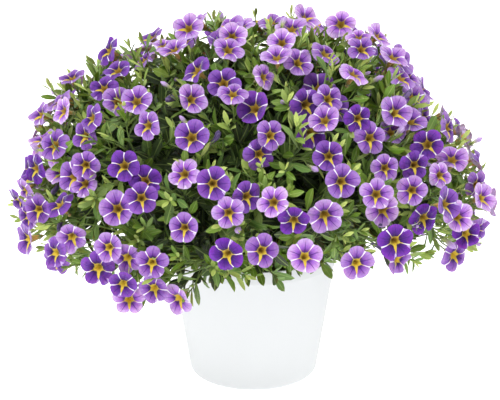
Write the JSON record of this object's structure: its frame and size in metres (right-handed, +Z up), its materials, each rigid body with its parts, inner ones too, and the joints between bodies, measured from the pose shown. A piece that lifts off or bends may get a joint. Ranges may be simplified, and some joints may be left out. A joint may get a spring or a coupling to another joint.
{
  "type": "potted calibrachoa",
  "caption": "Calibrachoa in full flower: a wide dome of violet, white-rayed trumpet blooms over small green leaves, in a plain white tapered pot.",
  "frame": {"origin": "centre of the pot's flat base, on the surface that it stands on", "axes": "+Z up, -Y towards the plant's front, where the skirt of blooms lifts over the pot"},
  "size_m": [0.3985, 0.3809, 0.303],
  "materials": {
    "pot_plastic": "matte",
    "potting_soil": "matte",
    "petals": "satin",
    "foliage": "satin"
  },
  "bodies": {
    "root": {"pot": "pot_plastic", "soil": "potting_soil", "flowering_shoot_01": "petals", "flowering_shoot_02": "petals", "flowering_shoot_03": "petals", "flowering_shoot_04": "petals", "flowering_shoot_05": "petals", "flowering_shoot_06": "petals", "flowering_shoot_07": "petals", "flowering_shoot_08": "petals", "flowering_shoot_09": "petals", "flowering_shoot_10": "petals", "flowering_shoot_11": "petals", "flowering_shoot_12": "petals", "flowering_shoot_13": "petals", "flowering_shoot_14": "petals", "flowering_shoot_15": "petals", "flowering_shoot_16": "petals", "flowering_shoot_17": "petals", "flowering_shoot_18": "petals", "flowering_shoot_19": "petals", "flowering_shoot_20": "petals", "flowering_shoot_21": "petals", "flowering_shoot_22": "petals", "flowering_shoot_23": "petals", "flowering_shoot_24": "petals", "flowering_shoot_25": "petals", "flowering_shoot_26": "petals", "flowering_shoot_27": "petals", "flowering_shoot_28": "petals", "flowering_shoot_29": "petals", "flowering_shoot_30": "petals", "flowering_shoot_31": "petals", "flowering_shoot_32": "petals", "flowering_shoot_33": "petals", "flowering_shoot_34": "petals", "flowering_shoot_35": "petals", "flowering_shoot_36": "petals", "flowering_shoot_37": "petals", "flowering_shoot_38": "petals", "flowering_shoot_39": "petals", "flowering_shoot_40": "petals", "flowering_shoot_41": "petals", "flowering_shoot_42": "petals", "leafy_shoot_01": "foliage", "leafy_shoot_02": "foliage", "leafy_shoot_03": "foliage", "leafy_shoot_04": "foliage", "leafy_shoot_05": "foliage", "leafy_shoot_06": "foliage", "leafy_shoot_07": "foliage", "leafy_shoot_08": "foliage", "leafy_shoot_09": "foliage", "leafy_shoot_10": "foliage", "leafy_shoot_11": "foliage", "leafy_shoot_12": "foliage", "leafy_shoot_13": "foliage", "leafy_shoot_14": "foliage"}
  },
  "joints": []
}
